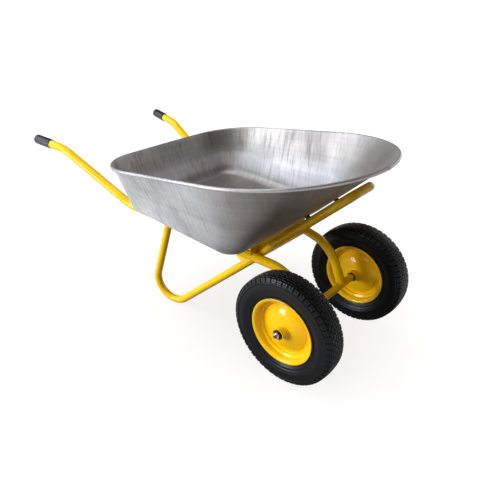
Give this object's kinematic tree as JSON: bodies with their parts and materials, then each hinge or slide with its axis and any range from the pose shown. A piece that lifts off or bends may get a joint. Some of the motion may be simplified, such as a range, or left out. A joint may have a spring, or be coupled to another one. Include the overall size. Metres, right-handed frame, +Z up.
{
  "type": "two wheel wheelbarrow",
  "caption": "Garden wheelbarrow with a deep drawn steel tray on a bent tube frame, a front loop, V legs with rounded feet and pneumatic wheels side by side on one axle.",
  "frame": {"origin": "on the ground, under the middle of the whole length and width", "axes": "+X forward, from the grips to the wheels; +Y to the left; +Z up"},
  "size_m": [1.4156, 0.7242, 0.6965],
  "materials": {
    "zinc_sheet": "galvanised, fine streaks",
    "yellow_paint": "gloss",
    "black_plastic": "satin",
    "tyre_rubber": "moulded",
    "tube_rubber": "matte",
    "bright_steel": "zinc plated",
    "dark_steel": "blackened"
  },
  "bodies": {
    "frame": {"tray": "zinc_sheet", "left_main_tube": "yellow_paint", "right_main_tube": "yellow_paint", "left_leg": "yellow_paint", "right_leg": "yellow_paint", "front_loop": "yellow_paint", "axle_beam": "yellow_paint", "front_bar": "yellow_paint", "rear_bar": "yellow_paint", "left_grip": "black_plastic", "right_grip": "black_plastic", "tray_studs": "bright_steel", "tray_washers": "bright_steel", "tray_nuts": "bright_steel", "front_bolts": "bright_steel", "front_spacers": "black_plastic", "front_inserts": "bright_steel", "axle_washers": "dark_steel", "axle_nuts": "bright_steel"},
    "left_wheel": {"left_tyre": "tyre_rubber", "left_inner_tube": "tube_rubber", "left_outer_rim": "yellow_paint", "left_inner_rim": "yellow_paint", "left_hub": "yellow_paint", "left_outer_bearing": "dark_steel", "left_inner_bearing": "dark_steel", "left_valve": "tube_rubber"},
    "right_wheel": {"right_tyre": "tyre_rubber", "right_inner_tube": "tube_rubber", "right_outer_rim": "yellow_paint", "right_inner_rim": "yellow_paint", "right_hub": "yellow_paint", "right_outer_bearing": "dark_steel", "right_inner_bearing": "dark_steel", "right_valve": "tube_rubber"}
  },
  "joints": [
    {"name": "left_wheel_spin", "type": "hinge", "parent": "frame", "child": "left_wheel", "pos_m": [0.52, 0.221, 0.187], "axis": [0, 1, 0], "continuous": true},
    {"name": "right_wheel_spin", "type": "hinge", "parent": "frame", "child": "right_wheel", "pos_m": [0.52, -0.221, 0.187], "axis": [0, 1, 0], "continuous": true}
  ]
}
